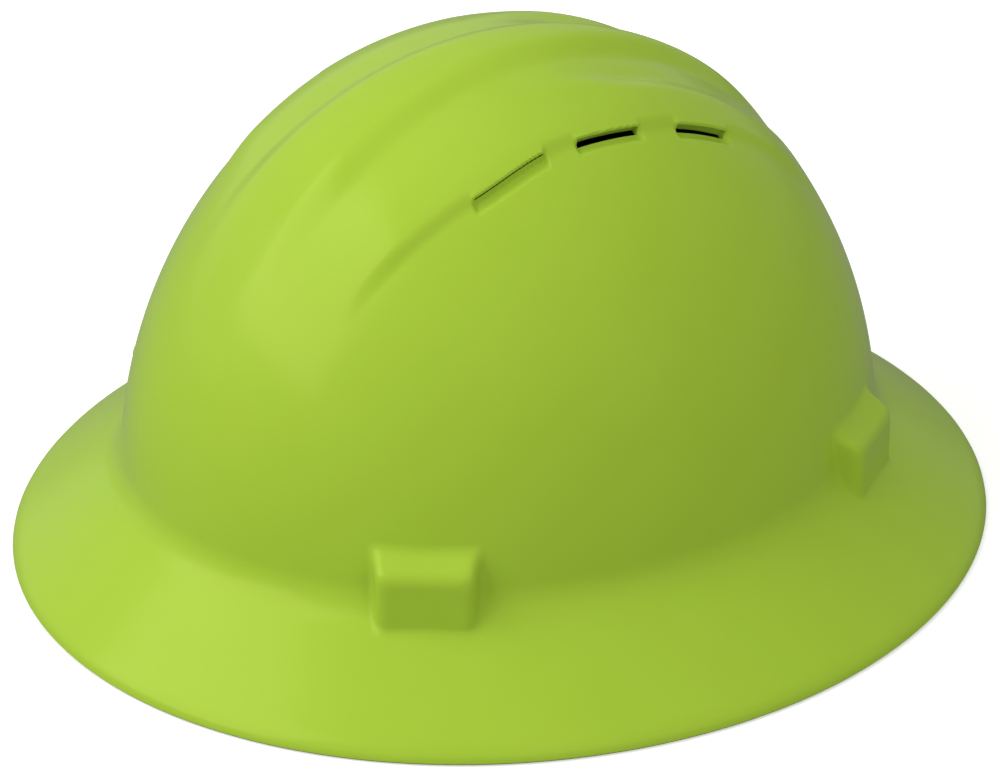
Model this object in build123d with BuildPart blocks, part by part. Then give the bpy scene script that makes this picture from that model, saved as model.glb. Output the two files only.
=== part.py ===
from build123d import *
import math
import os

# Full brim hard hat with a four-point ratchet suspension
# The front of the hat faces -Y, the wearer's left is +X, and the rim rests at z = 0

# Shell: rim, dome and wall
brim_width = 288.7
brim_length = 317.0
crown_width = 210.3
crown_length = 248.2
crown_shift = -0.6
crown_level = 24.0
hat_height = 167.5
wall = 2.4
crease_level = 32.5
crease_rise = 7.0
crease_run = 4.5
crease_inset = 0.5
crease_steps = 4
rim_edge = 3.0

# Shell: raised bands and vents
band_height = 1.6
ridge_half_width = 10.6
valley_width = 10.0
band_lean = -5.1
rounding_share = 0.3
step_line = 47.2
step_lean_share = -0.047
step_bow_radius = 565.0
band_front = -78.0
band_rear = 86.0
ridge_front = -72.0
ridge_rear = 76.0
vent_row_front = -37.2
vent_row_length = 92.9
vent_start_shares = (0.0, 0.398, 0.797)
vent_end_shares = (0.268, 0.636, 1.0)
vent_slot = 2.2
vent_scoop = 5.2
vent_scoop_depth = 1.5
vent_foot_depth = 0.2
vent_cut_depth = 7.0

# Shell: suspension bosses
boss_width = 25.0
boss_root_width = 31.5
boss_reach = 8.0
boss_face_top = 46.0
boss_root_top = 51.5
boss_edge_radius = 2.4
front_boss_angle = 53.1
front_boss_facing = 57.4
rear_boss_angle = 133.1
rear_boss_facing = 128.0
pocket_wall = 2.2
pocket_bridge = 1.6
pocket_top = 42.0
boss_bottom = 17.0
boss_level = 49.0

# Suspension keys
key_fit = 0.4
key_plate = 2.5
key_web_top = 26.2
key_arm_width = 22.0
key_arm_standoff = 5.8
key_arm_top = 59.0
key_seat_gap = 0.9
stud_radius = 3.0
stud_level = 30.0
stud_head_radius = 4.2
stud_head = 1.4

# Crown straps
strap_width = 19.0
strap_thickness = 1.4
strap_level = 50.0
strap_end_level = 48.5
strap_top = 128.0
strap_gap = 0.3
strap_reach_share = 1.25
strap_lean = 1.3
strap_rivet_level = 55.5
strap_rivet_radius = 2.0
strap_rivet_head_radius = 3.4
strap_rivet_head = 0.9
hole_fit = 0.06
crown_pad_width = 46.0
crown_pad_corner = 9.0
crown_pad_thickness = 1.6
crown_rivet_radius = 2.5
crown_rivet_head_radius = 6.0
crown_rivet_head = 1.2
crown_rivet_gap = 0.5

# Headband
headband_side_gap = 25.15
headband_front_gap = 23.7
band_centre = 17.0
band_thickness = 1.5
band_bottom = 18.0
band_top = 50.0
band_arm_end = 40.0
height_travel = 5.0
hanger_width = 17.0
hanger_thickness = 1.8
hanger_fit = 0.6
hanger_arm = 2.2
hanger_foot_thickness = 2.0
hanger_pin_radius = 2.2
hanger_pin_share = 0.55
hanger_level = 42.0
hanger_bottom = 20.0
hanger_play = 0.5
keeper_angle = 58.5
keeper_length = 5.0
keeper_wall = 1.4

# Pads
pad_gap = 0.3
brow_pad_depth = 5.2
brow_pad_skin = 0.8
brow_pad_end = 62.0
brow_pad_height = 30.0
nape_pad_depth = 3.4
nape_pad_margin = 2.0

# Ratchet
ratchet_level = 28.0
nape_bearing = 90.0
rack_module = 1.0
pinion_teeth = 10
pressure_angle = 25.0
tooth_addendum = 0.8
tooth_dedendum = 1.05
tooth_backlash = 0.25
flank_steps = 6
rack_fit = 0.4
rack_thickness = 1.6
rack_offset = 1.0
rack_half_height = 8.5
rack_slot_clearance = 0.5
rack_travel = 19.0
rack_end = 78.0
rack_tail = 3.5
case_half_angle = 21.0
case_half_height = 16.0
case_wall = 2.0
case_corner = 5.0
cover_thickness = 2.2
detent_ring_radius = 14.6
detent_ring_wall = 1.8
detent_ring_height = 4.2
detent_teeth = 24
detent_tooth_depth = 0.8
detent_ring_sink = 1.6
spring_gap = 0.35
spring_band = 1.0
spring_hub_radius = 5.0
knob_radius = 16.0
knob_height = 8.6
knob_gap = 0.3
knob_dish = 3.0
knob_dish_taper = 25.0
knob_dish_radius = 10.0
knob_ribs = 24
grip_thickness = 1.4
grip_rib_radius = 0.9
grip_rib_shift = 0.3
grip_inset = 0.7
grip_height = 6.5
journal_radius = 2.2
journal_fit = 0.05
drive_flat = 3.6
drive_sides = 6
screw_radius = 1.2
screw_head_radius = 2.3
screw_head = 1.3
screw_slot = 0.6
screw_clearance = 1.0
cover_screw_radius = 1.1
cover_screw_head_radius = 2.0
cover_screw_depth = 4.6

# Shared by every cut that has to run past a face
overrun = 4.0

os.makedirs("parts", exist_ok=True)

crown_a = crown_length / 2
crown_b = crown_width / 2
crown_c = hat_height - band_height - crown_level
brim_a = brim_length / 2
brim_b = brim_width / 2
band_half_width = crown_b - headband_side_gap
band_reach = crown_a - crown_shift + band_centre - headband_front_gap


def ellipsoid(half_x, half_y, half_z, level=crown_level):
    """Solid ellipsoid about the dome's upright axis."""
    return Pos(0, crown_shift, level) * scale(Sphere(1), by=(half_x, half_y, half_z))


def dome_point(x, y):
    """Point of the plain dome over a place in plan."""
    inside = 1 - (x / crown_b) ** 2 - ((y - crown_shift) / crown_a) ** 2
    return Vector(x, y, crown_level + crown_c * math.sqrt(inside))


def dome_normal(spot):
    slope = Vector(spot.X / crown_b**2, (spot.Y - crown_shift) / crown_a**2, (spot.Z - crown_level) / crown_c**2)
    return slope.normalized()


def wall_point(angle, level):
    """Point of the dome's outside at an angle from the front and a height."""
    waist = math.sqrt(1 - ((level - crown_level) / crown_c) ** 2)
    turn = math.radians(angle)
    return Vector(crown_b * waist * math.sin(turn), crown_shift - crown_a * waist * math.cos(turn), level)


def step_x(y):
    """Half distance between the steps under the raised bands."""
    return step_line + step_lean_share * y - y * y / (2 * step_bow_radius)


# Shell: bell of brim and dome
brim_slope = math.atan2(crease_level - rim_edge, brim_b - crown_b)
brim_drop = wall / math.cos(brim_slope)


def blend(first, middle, last, share):
    """Point of a smooth curve that leaves and reaches its ends along the lines to the middle."""
    rest = 1 - share
    return first * rest**2 + middle * 2 * share * rest + last * share**2


def frustum(lower, upper):
    """Ruled solid between two level ellipses, each given by its half widths, height and shift."""
    with BuildPart(mode=Mode.PRIVATE) as made:
        for half_x, half_y, level, shift in (lower, upper):
            with BuildSketch(Plane.XY.offset(level)):
                with Locations((0, shift)):
                    Ellipse(half_x, half_y)
        loft(ruled=True)
    return made.part


def bell(inset, lowered):
    """Dome over the brim's cone, with a hollow crease between them in short steps."""
    half_x, half_y, half_z = crown_b - inset, crown_a - inset, crown_c - inset
    crease = crease_level - lowered
    edge = rim_edge - lowered
    top = crease + crease_rise
    start = crease - crease_run

    def waist(level):
        return math.sqrt(1 - ((level - crown_level) / half_z) ** 2)

    share = (start - edge) / (crease - edge)
    start_x = brim_b + (half_x - brim_b) * share
    start_y = brim_a + (half_y - brim_a) * share
    rings = [(brim_b, brim_a, -overrun, 0.0), (brim_b, brim_a, edge, 0.0)]
    for i in range(crease_steps + 1):
        step = i / crease_steps
        rings.append(
            (
                blend(start_x, half_x * waist(crease), half_x * waist(top) - crease_inset, step),
                blend(start_y, half_y * waist(crease), half_y * waist(top) - crease_inset, step),
                blend(start, crease, top, step),
                crown_shift * (share + (1 - share) * step),
            )
        )
    made = split(
        ellipsoid(half_x, half_y, half_z), bisect_by=Plane.XY.offset(crown_level + wall / 2), keep=Keep.TOP
    )
    for lower, upper in zip(rings, rings[1:]):
        made = made + frustum(lower, upper)
    return made


outer_bell = split(bell(0, 0), bisect_by=Plane.XY, keep=Keep.TOP)
inner_bell = bell(wall, brim_drop)
rim_cut = extrude(Plane.XY.offset(-overrun) * Ellipse(brim_b - wall, brim_a - wall), amount=hat_height)

# Raised bands: the centre ridge and one band each side, with a valley between and a step outside
proud_dome = ellipsoid(crown_b + band_height, crown_a + band_height, crown_c + band_height)
band_tilt = math.tan(math.radians(band_lean))
with BuildPart() as bands:
    with BuildSketch(Plane.XY.offset(crown_level + wall)):
        with BuildLine():
            ridge_edge = Polyline(
                (ridge_half_width + band_tilt * ridge_front, ridge_front),
                (ridge_half_width + band_tilt * ridge_rear, ridge_rear),
            )
            mirror(ridge_edge, about=Plane.YZ)
            for end in (0, 1):
                tip = ridge_edge @ end
                Line(tip, (-tip.X, tip.Y))
        make_face()
        for side in (1, -1):
            with BuildLine():
                inner_offset = ridge_half_width + valley_width
                outer_edge = ThreePointArc(
                    (side * step_x(band_front), band_front),
                    (side * step_x(0), 0),
                    (side * step_x(band_rear), band_rear),
                )
                inner_edge = Line(
                    (side * (inner_offset + band_tilt * band_front), band_front),
                    (side * (inner_offset + band_tilt * band_rear), band_rear),
                )
                for end in (0, 1):
                    Line(outer_edge @ end, inner_edge @ end)
            make_face()
    extrude(amount=hat_height)
    fillet(bands.edges().filter_by(Axis.Z), radius=valley_width * rounding_share)
    add(proud_dome, mode=Mode.INTERSECT)

boss_places = {}
for name, angle, facing in (
    ("front", front_boss_angle, front_boss_facing),
    ("rear", rear_boss_angle, rear_boss_facing),
):
    for hand, side in (("left", 1), ("right", -1)):
        spot = wall_point(angle, boss_level)
        turn = math.radians(facing)
        out = Vector(side * math.sin(turn), -math.cos(turn), 0)
        along = Vector(0, 0, 1).cross(out)
        boss_places[f"{name}_{hand}"] = Plane(origin=(side * spot.X, spot.Y, 0), x_dir=along, z_dir=out)


def boss_block(place):
    """Suspension boss with drafted sides and rounded edges, from the dome's wall out to its face."""
    outward = Axis(place.origin, place.z_dir)
    with BuildPart(mode=Mode.PRIVATE) as block:
        with BuildSketch(place.offset(-wall)):
            with Locations((0, boss_bottom)):
                Rectangle(boss_root_width, boss_root_top - boss_bottom, align=(Align.CENTER, Align.MIN))
        with BuildSketch(place.offset(boss_reach)):
            with Locations((0, boss_bottom)):
                Rectangle(boss_width, boss_face_top - boss_bottom, align=(Align.CENTER, Align.MIN))
        loft(ruled=True)
        root = block.faces().sort_by(outward)[0].edges()
        edges = block.edges().filter_by(lambda edge: edge.center().Z > boss_bottom + wall)
        fillet([edge for edge in edges if edge not in root], radius=boss_edge_radius)
    return block.part


def side_view(place):
    """Upright plane through a boss: its x runs out of the shell, its y runs up."""
    return Plane(origin=place.origin, x_dir=place.z_dir, z_dir=-place.x_dir)


def outward_cylinder(place, level, radius, start, end):
    """Round bar square to a boss, between two distances from its origin."""
    with BuildPart(mode=Mode.PRIVATE) as bar:
        with BuildSketch(place.offset(start)):
            with Locations((0, level)):
                Circle(radius)
        extrude(amount=end - start)
    return bar.part


with BuildPart() as shell:
    add(outer_bell)
    add(bands.part)
    for place in boss_places.values():
        add(boss_block(place))
    add(inner_bell & rim_cut, mode=Mode.SUBTRACT)
    for place in boss_places.values():
        with BuildSketch(place.offset(pocket_bridge)):
            with Locations((0, boss_bottom - overrun)):
                Rectangle(
                    boss_width - 2 * pocket_wall,
                    pocket_top - boss_bottom + overrun,
                    align=(Align.CENTER, Align.MIN),
                )
        extrude(amount=boss_reach - pocket_wall - pocket_bridge, mode=Mode.SUBTRACT)
    # Each vent is a slot through the wall at the foot of the step, over a scoop in the dome below it
    for side in (1, -1):
        for start_share, end_share in zip(vent_start_shares, vent_end_shares):
            start_y = vent_row_front + vent_row_length * start_share
            end_y = vent_row_front + vent_row_length * end_share
            first = dome_point(side * step_x(start_y), start_y)
            last = dome_point(side * step_x(end_y), end_y)
            middle_y = (start_y + end_y) / 2
            middle = dome_point(side * step_x(middle_y), middle_y)
            along = (last - first).normalized()
            upright = dome_normal(middle)
            down = along.cross(upright).normalized() * side
            vent_view = Plane(origin=middle - along * ((last - first).length / 2), x_dir=down, z_dir=along)
            rise = 1 if vent_view.y_dir.Z > 0 else -1
            with BuildSketch(vent_view):
                with BuildLine():
                    Polyline(
                        (0, -rise * vent_cut_depth),
                        (0, rise * wall),
                        (vent_scoop, rise * wall),
                        (vent_scoop, rise * vent_foot_depth),
                        (vent_slot, -rise * vent_scoop_depth),
                        (vent_slot, -rise * vent_cut_depth),
                        close=True,
                    )
                make_face()
            extrude(amount=(last - first).length, mode=Mode.SUBTRACT)
shell.part.label = "shell"
export_step(shell.part, "parts/shell.step")

# Suspension keys: a blade in the boss pocket, a web under the shell's wall and an arm inside it
arm_outer = -key_arm_standoff
arm_inner = arm_outer - key_plate
strap_outer = arm_inner - key_seat_gap
plate_outer = arm_inner - hanger_play
plate_inner = plate_outer - hanger_thickness
rivet_start = strap_outer - strap_thickness - strap_lean
blade_inner = pocket_bridge + key_fit
blade_outer = boss_reach - pocket_wall - key_fit
keys = {}
for name, place in boss_places.items():
    with BuildPart() as key:
        with BuildSketch(side_view(place)):
            with BuildLine():
                Polyline(
                    (blade_outer, key_web_top - key_plate),
                    (blade_outer, pocket_top - key_fit),
                    (blade_inner, pocket_top - key_fit),
                    (blade_inner, key_web_top),
                    (arm_outer, key_web_top),
                    (arm_outer, key_arm_top),
                    (arm_inner, key_arm_top),
                    (arm_inner, key_web_top - key_plate),
                    close=True,
                )
            make_face()
        extrude(amount=(boss_width - 2 * pocket_wall) / 2 - key_fit, both=True)
        with BuildSketch(side_view(place)):
            with Locations(((arm_inner + arm_outer) / 2, key_web_top - key_plate)):
                Rectangle(
                    key_plate, key_arm_top - key_web_top + key_plate, align=(Align.CENTER, Align.MIN)
                )
        extrude(amount=key_arm_width / 2, both=True)
        corners = key.edges().filter_by(Axis(place.origin, place.z_dir)).sort_by(Axis.Z)[-2:]
        fillet(corners, radius=key_plate)
        add(outward_cylinder(place, stud_level, stud_radius, plate_inner - hanger_fit, arm_inner + key_plate / 2))
        head_start = plate_inner - hanger_fit - stud_head
        add(outward_cylinder(place, stud_level, stud_head_radius, head_start, plate_inner - hanger_fit))
        add(
            outward_cylinder(
                place, strap_rivet_level, strap_rivet_radius + hole_fit, arm_inner - overrun, arm_outer + overrun
            ),
            mode=Mode.SUBTRACT,
        )
    keys[name] = key
    key.part.label = f"key_{name}"
    export_step(key.part, f"parts/key_{name}.step")


# Crown straps: bands of webbing on a low dome that passes through the keys' seats
def seat(name):
    place = boss_places[name]
    return place.origin + place.z_dir * (strap_outer - strap_thickness / 2)


front_seat = seat("front_left")
rear_seat = seat("rear_left")
front_y = front_seat.Y - crown_shift
rear_y = rear_seat.Y - crown_shift
spread = front_seat.X**2 * rear_y**2 - rear_seat.X**2 * front_y**2
strap_half_x = math.sqrt(spread / (rear_y**2 - front_y**2))
strap_half_y = math.sqrt(spread / (front_seat.X**2 - rear_seat.X**2))
strap_rise = strap_top - strap_level
layer_step = strap_thickness + strap_gap
crossing_share = front_seat.X / (front_seat.X + rear_seat.X)
crossing_y = front_seat.Y + (rear_seat.Y - front_seat.Y) * crossing_share


def webbing_dome(layer, thickness=strap_thickness):
    """Thin dome of a strap layer, counted up from the lower strap."""
    rise = strap_rise + layer * layer_step
    outer_x, outer_y = strap_half_x + strap_thickness / 2, strap_half_y + strap_thickness / 2
    outside = ellipsoid(outer_x, outer_y, rise, strap_level)
    return outside - ellipsoid(outer_x - thickness, outer_y - thickness, rise - thickness, strap_level)


def webbing_level(layer, x, y):
    """Height of a strap layer's upper face over a place in plan."""
    inside = 1 - (x / strap_half_x) ** 2 - ((y - crown_shift) / strap_half_y) ** 2
    return strap_level + (strap_rise + layer * layer_step) * math.sqrt(inside)


crown_rivet_foot = webbing_level(-1, 0, crossing_y) - crown_pad_thickness - crown_rivet_gap
crown_rivet_top = webbing_level(1, 0, crossing_y) + strap_gap
for layer, hand, far_hand, side in ((0, "left", "right", 1), (1, "right", "left", -1)):
    dome = webbing_dome(layer)
    with BuildPart() as strap:
        with BuildSketch(Plane.XY.offset(strap_end_level)):
            with BuildLine():
                front_step = Vector(side * front_seat.X, front_seat.Y - crossing_y) * strap_reach_share
                rear_step = Vector(-side * rear_seat.X, rear_seat.Y - crossing_y) * strap_reach_share
                Line((front_step.X, crossing_y + front_step.Y), (rear_step.X, crossing_y + rear_step.Y))
            trace(line_width=strap_width)
        extrude(amount=strap_top)
        add(dome, mode=Mode.INTERSECT)
        for name in (f"front_{hand}", f"rear_{far_hand}"):
            hole = outward_cylinder(
                boss_places[name],
                strap_rivet_level,
                strap_rivet_radius + hole_fit,
                strap_outer - strap_thickness - overrun,
                arm_inner + overrun,
            )
            add(hole, mode=Mode.SUBTRACT)
        with BuildSketch(Plane.XY.offset(strap_level)):
            with Locations((0, crossing_y)):
                Circle(crown_rivet_radius + hole_fit)
        extrude(amount=strap_top, mode=Mode.SUBTRACT)
    strap.part.label = f"crown_strap_{hand}"
    export_step(strap.part, f"parts/crown_strap_{hand}.step")

pad_dome = webbing_dome(-1, crown_pad_thickness)
with BuildPart() as crown_pad:
    with BuildSketch(Plane.XY.offset(strap_level)):
        with Locations((0, crossing_y)):
            RectangleRounded(crown_pad_width, crown_pad_width, crown_pad_corner)
            Circle(crown_rivet_radius + hole_fit, mode=Mode.SUBTRACT)
    extrude(amount=strap_top)
    add(pad_dome, mode=Mode.INTERSECT)
crown_pad.part.label = "crown_pad"
export_step(crown_pad.part, "parts/crown_pad.step")

with BuildPart() as crown_rivet:
    with BuildSketch(Plane.XZ.offset(-crossing_y)):
        with BuildLine():
            Polyline(
                (0, crown_rivet_foot - crown_rivet_head),
                (crown_rivet_head_radius, crown_rivet_foot - crown_rivet_head),
                (crown_rivet_head_radius, crown_rivet_foot),
                (crown_rivet_radius, crown_rivet_foot),
                (crown_rivet_radius, crown_rivet_top),
                (crown_rivet_head_radius, crown_rivet_top),
                (crown_rivet_head_radius, crown_rivet_top + crown_rivet_head),
                (0, crown_rivet_top + crown_rivet_head),
                close=True,
            )
        make_face()
    revolve(axis=Axis((0, crossing_y, 0), (0, 0, 1)))
    rims = crown_rivet.edges().filter_by(GeomType.CIRCLE).sort_by(Axis.Z)
    fillet([rims[0], rims[-1]], radius=crown_rivet_head / 2)
crown_rivet.part.label = "crown_rivet"
export_step(crown_rivet.part, "parts/crown_rivet.step")

with BuildPart() as strap_rivets:
    for place in boss_places.values():
        head_outer = arm_outer + strap_rivet_head
        add(outward_cylinder(place, strap_rivet_level, strap_rivet_radius, rivet_start, head_outer))
        add(outward_cylinder(place, strap_rivet_level, strap_rivet_head_radius, arm_outer, head_outer))
        add(
            outward_cylinder(
                place, strap_rivet_level, strap_rivet_head_radius, rivet_start - strap_rivet_head, rivet_start
            )
        )
strap_rivets.part.label = "strap_rivets"
export_step(strap_rivets.part, "parts/strap_rivets.step")


# Headband: half an ellipse round the brow, then round arms to the nape
def band_outline(inset):
    """Closed plan outline of the headband's outside, drawn in by an inset."""
    with BuildSketch(Plane.XY, mode=Mode.PRIVATE) as plan:
        with Locations((0, band_centre)):
            Ellipse(band_half_width - inset, band_reach - inset)
            Rectangle(
                2 * band_half_width + overrun,
                band_reach + overrun,
                align=(Align.CENTER, Align.MIN),
                mode=Mode.SUBTRACT,
            )
            Circle(band_half_width - inset)
    return plan.sketch


def nape_plane(angle, radius, level):
    """Plane square to the headband's arc at an angle from the nape towards the wearer's left, its y up."""
    turn = math.radians(angle)
    out = Vector(math.sin(turn), math.cos(turn), 0)
    origin = Vector(0, band_centre, level) + out * radius
    return Plane(origin=origin, x_dir=Vector(-math.cos(turn), math.sin(turn), 0), z_dir=out)


def arc_block(inner, outer, start, end, bottom, top):
    """Block bent round the nape between two radii and two angles."""
    with BuildPart(mode=Mode.PRIVATE) as made:
        with BuildSketch(Plane.XY.offset(bottom)):
            with BuildLine():
                inside = CenterArc((0, band_centre), inner, nape_bearing - end, end - start)
                outside = CenterArc((0, band_centre), outer, nape_bearing - end, end - start)
                Line(inside @ 0, outside @ 0)
                Line(inside @ 1, outside @ 1)
            make_face()
        extrude(amount=top - bottom)
    return made.part


def band_distance(place):
    """Distance from a boss's origin inwards to the headband's outside."""
    half_y = band_reach if place.origin.Y < band_centre else band_half_width
    start = place.origin - Vector(0, band_centre, 0)
    step = -place.z_dir
    square = (step.X / band_half_width) ** 2 + (step.Y / half_y) ** 2
    middle = start.X * step.X / band_half_width**2 + start.Y * step.Y / half_y**2
    rest = (start.X / band_half_width) ** 2 + (start.Y / half_y) ** 2 - 1
    return (-middle - math.sqrt(middle**2 - square * rest)) / square


rack_layers = {
    "right": band_half_width + rack_offset,
    "left": band_half_width + rack_offset + rack_thickness + rack_fit,
}
window_half_height = rack_half_height + rack_fit
hanger_pin_level = hanger_level + (band_top - hanger_level) / 2
with BuildPart() as headband:
    with BuildSketch(Plane.XY.offset(band_bottom)):
        add(band_outline(0))
        add(band_outline(band_thickness), mode=Mode.SUBTRACT)
    extrude(amount=band_top - band_bottom)
    gap_block = arc_block(
        band_half_width - band_thickness - overrun,
        band_half_width + overrun,
        -band_arm_end,
        band_arm_end,
        band_bottom - overrun,
        band_top + overrun,
    )
    add(gap_block, mode=Mode.SUBTRACT)
    for hand, side in (("left", 1), ("right", -1)):
        keeper_half = math.degrees(keeper_length / 2 / band_half_width)
        start = side * keeper_angle - keeper_half
        end = side * keeper_angle + keeper_half
        layer = rack_layers[hand]
        add(
            arc_block(
                band_half_width - band_thickness / 2,
                layer + rack_thickness + rack_fit + keeper_wall,
                start,
                end,
                ratchet_level - window_half_height - keeper_wall,
                ratchet_level + window_half_height + keeper_wall,
            )
        )
        window = arc_block(
            layer - rack_fit,
            layer + rack_thickness + rack_fit,
            start - keeper_half,
            end + keeper_half,
            ratchet_level - window_half_height,
            ratchet_level + window_half_height,
        )
        add(window, mode=Mode.SUBTRACT)
    for place in boss_places.values():
        reach = band_distance(place)
        pin_hole = outward_cylinder(
            place, hanger_pin_level, hanger_pin_radius + hole_fit, -reach - 2 * overrun, -reach + overrun
        )
        add(pin_hole, mode=Mode.SUBTRACT)
headband.part.label = "headband"
export_step(headband.part, "parts/headband.step")

# Hangers: a slotted plate on the key's stud, an arm and a foot pinned to the headband
with BuildPart() as band_core:
    with BuildSketch():
        add(band_outline(-hole_fit))
    extrude(amount=hat_height)
for name, place in boss_places.items():
    reach = band_distance(place)
    with BuildPart() as hanger:
        with BuildSketch(side_view(place)):
            with BuildLine():
                Polyline(
                    (plate_outer, hanger_bottom),
                    (plate_outer, hanger_level),
                    (hanger_foot_thickness - reach, hanger_level),
                    (hanger_foot_thickness - reach, band_top),
                    (-reach - hanger_foot_thickness, band_top),
                    (-reach - hanger_foot_thickness, hanger_level - hanger_arm),
                    (plate_inner, hanger_level - hanger_arm),
                    (plate_inner, hanger_bottom),
                    close=True,
                )
            make_face()
        extrude(amount=hanger_width / 2, both=True)
        add(band_core.part, mode=Mode.SUBTRACT)
        with BuildSketch(place.offset(plate_inner - overrun / 2)):
            with Locations((0, stud_level)):
                SlotOverall(
                    2 * (stud_radius + hanger_fit / 2 + height_travel), 2 * stud_radius + hanger_fit, rotation=90
                )
        extrude(amount=hanger_thickness + overrun, mode=Mode.SUBTRACT)
        pin_end = -reach - band_thickness * hanger_pin_share
        pin_root = hanger_foot_thickness / 2 - reach
        add(outward_cylinder(place, hanger_pin_level, hanger_pin_radius, pin_end, pin_root))
    hanger.part.label = f"hanger_{name}"
    export_step(hanger.part, f"parts/hanger_{name}.step")

# Brow pad: a cover folded round a foam core, open along its top edge
pad_bottom = (band_bottom + band_top - brow_pad_height) / 2


def brow_ring(outer, inner, end, bottom, top):
    """Stretch of the headband's inside round the brow, up to an angle each side of the front."""
    with BuildPart(mode=Mode.PRIVATE) as made:
        with BuildSketch(Plane.XY.offset(bottom)):
            add(band_outline(outer))
            add(band_outline(inner), mode=Mode.SUBTRACT)
            with BuildLine():
                wide = 2 * band_reach
                turn = math.radians(end)
                corner = Vector(wide * math.sin(turn), band_centre - wide * math.cos(turn))
                Polyline(
                    (0, band_centre),
                    (corner.X, corner.Y),
                    (corner.X, -2 * wide),
                    (-corner.X, -2 * wide),
                    (-corner.X, corner.Y),
                    close=True,
                )
            make_face(mode=Mode.INTERSECT)
        extrude(amount=top - bottom)
    return made.part


cover_outer = band_thickness + pad_gap
cover_inner = cover_outer + brow_pad_depth
pad_top = pad_bottom + brow_pad_height
core_end = brow_pad_end - math.degrees(brow_pad_skin / band_half_width)
core_space = brow_ring(
    cover_outer + brow_pad_skin, cover_inner - brow_pad_skin, core_end, pad_bottom + brow_pad_skin, pad_top + overrun
)
with BuildPart() as brow_pad_cover:
    add(brow_ring(cover_outer, cover_inner, brow_pad_end, pad_bottom, pad_top))
    add(core_space, mode=Mode.SUBTRACT)
brow_pad_cover.part.label = "brow_pad_cover"
export_step(brow_pad_cover.part, "parts/brow_pad_cover.step")

with BuildPart() as brow_pad_core:
    add(
        brow_ring(
            cover_outer + brow_pad_skin,
            cover_inner - brow_pad_skin,
            core_end,
            pad_bottom + brow_pad_skin,
            pad_top - brow_pad_skin,
        )
    )
brow_pad_core.part.label = "brow_pad_core"
export_step(brow_pad_core.part, "parts/brow_pad_core.step")

# Adjusting straps: each carries a rack in a slot, the left one above the pinion, the right one below it
pitch_radius = rack_module * pinion_teeth / 2
tip_radius = pitch_radius + tooth_addendum
root_radius = pitch_radius - tooth_dedendum
lean = math.tan(math.radians(pressure_angle))
tooth_half = math.pi * rack_module / 4
slot_far = tip_radius + rack_slot_clearance
rack_root = pitch_radius + tooth_dedendum
rack_tip = pitch_radius - tooth_addendum
for hand, side, up in (("left", 1, 1), ("right", -1, -1)):
    inner = rack_layers[hand]
    outer = inner + rack_thickness
    middle_radius = (inner + outer) / 2
    slot_half = rack_travel + math.degrees((tip_radius + rack_slot_clearance) / middle_radius)
    tail = slot_half + math.degrees(rack_tail / middle_radius)
    ends = sorted((-side * tail, side * rack_end))
    levels = sorted((ratchet_level - up * slot_far, ratchet_level + up * rack_root))
    with BuildPart() as rack_strap:
        full = arc_block(
            inner, outer, *ends, ratchet_level - rack_half_height, ratchet_level + rack_half_height
        )
        add(full)
        slot = arc_block(inner - overrun, outer + overrun, -slot_half, slot_half, *levels)
        add(slot, mode=Mode.SUBTRACT)
        tooth_pitch = math.degrees(math.pi * rack_module / middle_radius)
        tooth_count = math.floor(slot_half / tooth_pitch)
        for i in range(-tooth_count, tooth_count + 1):
            with BuildSketch(nape_plane(i * tooth_pitch, inner - overrun, ratchet_level)):
                with BuildLine():
                    root_half = tooth_half + (rack_root - pitch_radius) * lean
                    tip_half = tooth_half - tooth_addendum * lean
                    Polyline(
                        (-root_half, up * (rack_root + rack_slot_clearance)),
                        (-root_half, up * rack_root),
                        (-tip_half, up * rack_tip),
                        (tip_half, up * rack_tip),
                        (root_half, up * rack_root),
                        (root_half, up * (rack_root + rack_slot_clearance)),
                        close=True,
                    )
                make_face()
            extrude(amount=rack_thickness + 2 * overrun)
        add(full, mode=Mode.INTERSECT)
    rack_strap.part.label = f"adjusting_strap_{hand}"
    export_step(rack_strap.part, f"parts/adjusting_strap_{hand}.step")

# Ratchet case and cover, bent round the straps
channel_inner = rack_layers["right"] - rack_fit
channel_outer = rack_layers["left"] + rack_thickness + rack_fit
case_inner = channel_inner - case_wall
cover_inner_radius = channel_outer + journal_fit
cover_outer_radius = cover_inner_radius + cover_thickness
case_bottom = ratchet_level - case_half_height
case_top = ratchet_level + case_half_height
case_width = 2 * case_inner * math.sin(math.radians(case_half_angle))
nape = nape_plane(0, 0, ratchet_level)
cover_face = nape.offset(cover_outer_radius)
ring_base = nape.offset(cover_outer_radius - detent_ring_sink)
ring_top = cover_outer_radius + detent_ring_height
screw_places = [
    (side_x * (case_width / 2 - case_corner), side_z * (case_half_height - case_corner / 2 - case_wall / 2))
    for side_x in (1, -1)
    for side_z in (1, -1)
]


def case_shape(inner, outer):
    """Bent plate with the ratchet's rounded outline."""
    with BuildPart(mode=Mode.PRIVATE) as made:
        with BuildSketch(nape):
            RectangleRounded(case_width, 2 * case_half_height, case_corner)
        extrude(amount=2 * band_half_width)
        band = arc_block(inner, outer, -2 * case_half_angle, 2 * case_half_angle, case_bottom, case_top)
        add(band, mode=Mode.INTERSECT)
    return made.part


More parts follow.
